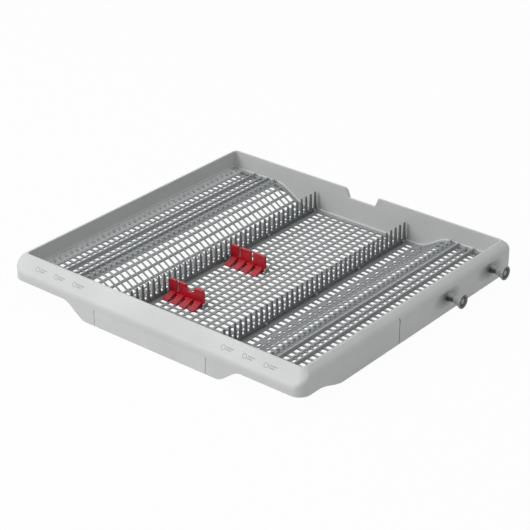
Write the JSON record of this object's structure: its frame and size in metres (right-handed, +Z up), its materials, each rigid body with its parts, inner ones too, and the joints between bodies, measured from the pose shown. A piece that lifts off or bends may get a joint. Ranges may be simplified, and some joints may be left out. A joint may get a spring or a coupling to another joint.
{
  "type": "dishwasher cutlery tray",
  "caption": "Shallow pull-out cutlery tray for a dishwasher, with slatted floors, folding tine rows, folding knife holders and side rollers that run in the machine's rails.",
  "frame": {"origin": "middle of the tray's plan, on the surface that it rests on", "axes": "+X to the right along the front, +Y from the front to the rear, +Z up"},
  "size_m": [0.545, 0.4626, 0.055],
  "materials": {
    "frame_plastic": "satin moulded",
    "floor_plastic": "satin moulded",
    "tine_plastic": "satin moulded",
    "roller_plastic": "smooth moulded",
    "holder_plastic": "semi-gloss moulded",
    "pin_steel": "drawn wire"
  },
  "bodies": {
    "tray": {"tray_frame": "frame_plastic", "front_grip": "frame_plastic", "trough_floor": "floor_plastic", "left_slope": "floor_plastic", "right_slope": "floor_plastic", "left_shelf": "floor_plastic", "right_shelf": "floor_plastic", "left_roller_carrier": "frame_plastic", "right_roller_carrier": "frame_plastic", "left_front_axle": "pin_steel", "left_rear_axle": "pin_steel", "right_front_axle": "pin_steel", "right_rear_axle": "pin_steel", "axle_push_nuts": "pin_steel", "left_tine_clips": "floor_plastic", "right_tine_clips": "floor_plastic", "front_holder_bracket": "floor_plastic", "rear_holder_bracket": "floor_plastic", "front_holder_pin": "pin_steel", "rear_holder_pin": "pin_steel"},
    "left_tine_row": {"left_tine_rod": "tine_plastic", "left_tines": "tine_plastic"},
    "right_tine_row": {"right_tine_rod": "tine_plastic", "right_tines": "tine_plastic"},
    "front_knife_holder": {"front_knife_holder": "holder_plastic"},
    "rear_knife_holder": {"rear_knife_holder": "holder_plastic"},
    "left_front_roller": {"left_front_roller": "roller_plastic"},
    "left_rear_roller": {"left_rear_roller": "roller_plastic"},
    "right_front_roller": {"right_front_roller": "roller_plastic"},
    "right_rear_roller": {"right_rear_roller": "roller_plastic"}
  },
  "joints": [
    {"name": "left_tine_fold", "type": "hinge", "parent": "tray", "child": "left_tine_row", "pos_m": [-0.0798, 0.00425, 0.0079], "axis": [0, -1, 0], "range_deg": [0, 90]},
    {"name": "right_tine_fold", "type": "hinge", "parent": "tray", "child": "right_tine_row", "pos_m": [0.0798, 0.00425, 0.0079], "axis": [0, 1, 0], "range_deg": [0, 90]},
    {"name": "front_holder_fold", "type": "hinge", "parent": "tray", "child": "front_knife_holder", "pos_m": [-0.0421, -0.11, 0.0087], "axis": [-1, 0, 0], "range_deg": [0, 90]},
    {"name": "rear_holder_fold", "type": "hinge", "parent": "tray", "child": "rear_knife_holder", "pos_m": [-0.0421, 0.018, 0.0087], "axis": [-1, 0, 0], "range_deg": [0, 90]},
    {"name": "left_front_roller_spin", "type": "hinge", "parent": "tray", "child": "left_front_roller", "pos_m": [-0.264, 0.077, 0.019], "axis": [1, 0, 0], "continuous": true},
    {"name": "left_rear_roller_spin", "type": "hinge", "parent": "tray", "child": "left_rear_roller", "pos_m": [-0.264, 0.179, 0.019], "axis": [1, 0, 0], "continuous": true},
    {"name": "right_front_roller_spin", "type": "hinge", "parent": "tray", "child": "right_front_roller", "pos_m": [0.264, 0.077, 0.033], "axis": [1, 0, 0], "continuous": true},
    {"name": "right_rear_roller_spin", "type": "hinge", "parent": "tray", "child": "right_rear_roller", "pos_m": [0.264, 0.179, 0.033], "axis": [1, 0, 0], "continuous": true}
  ]
}
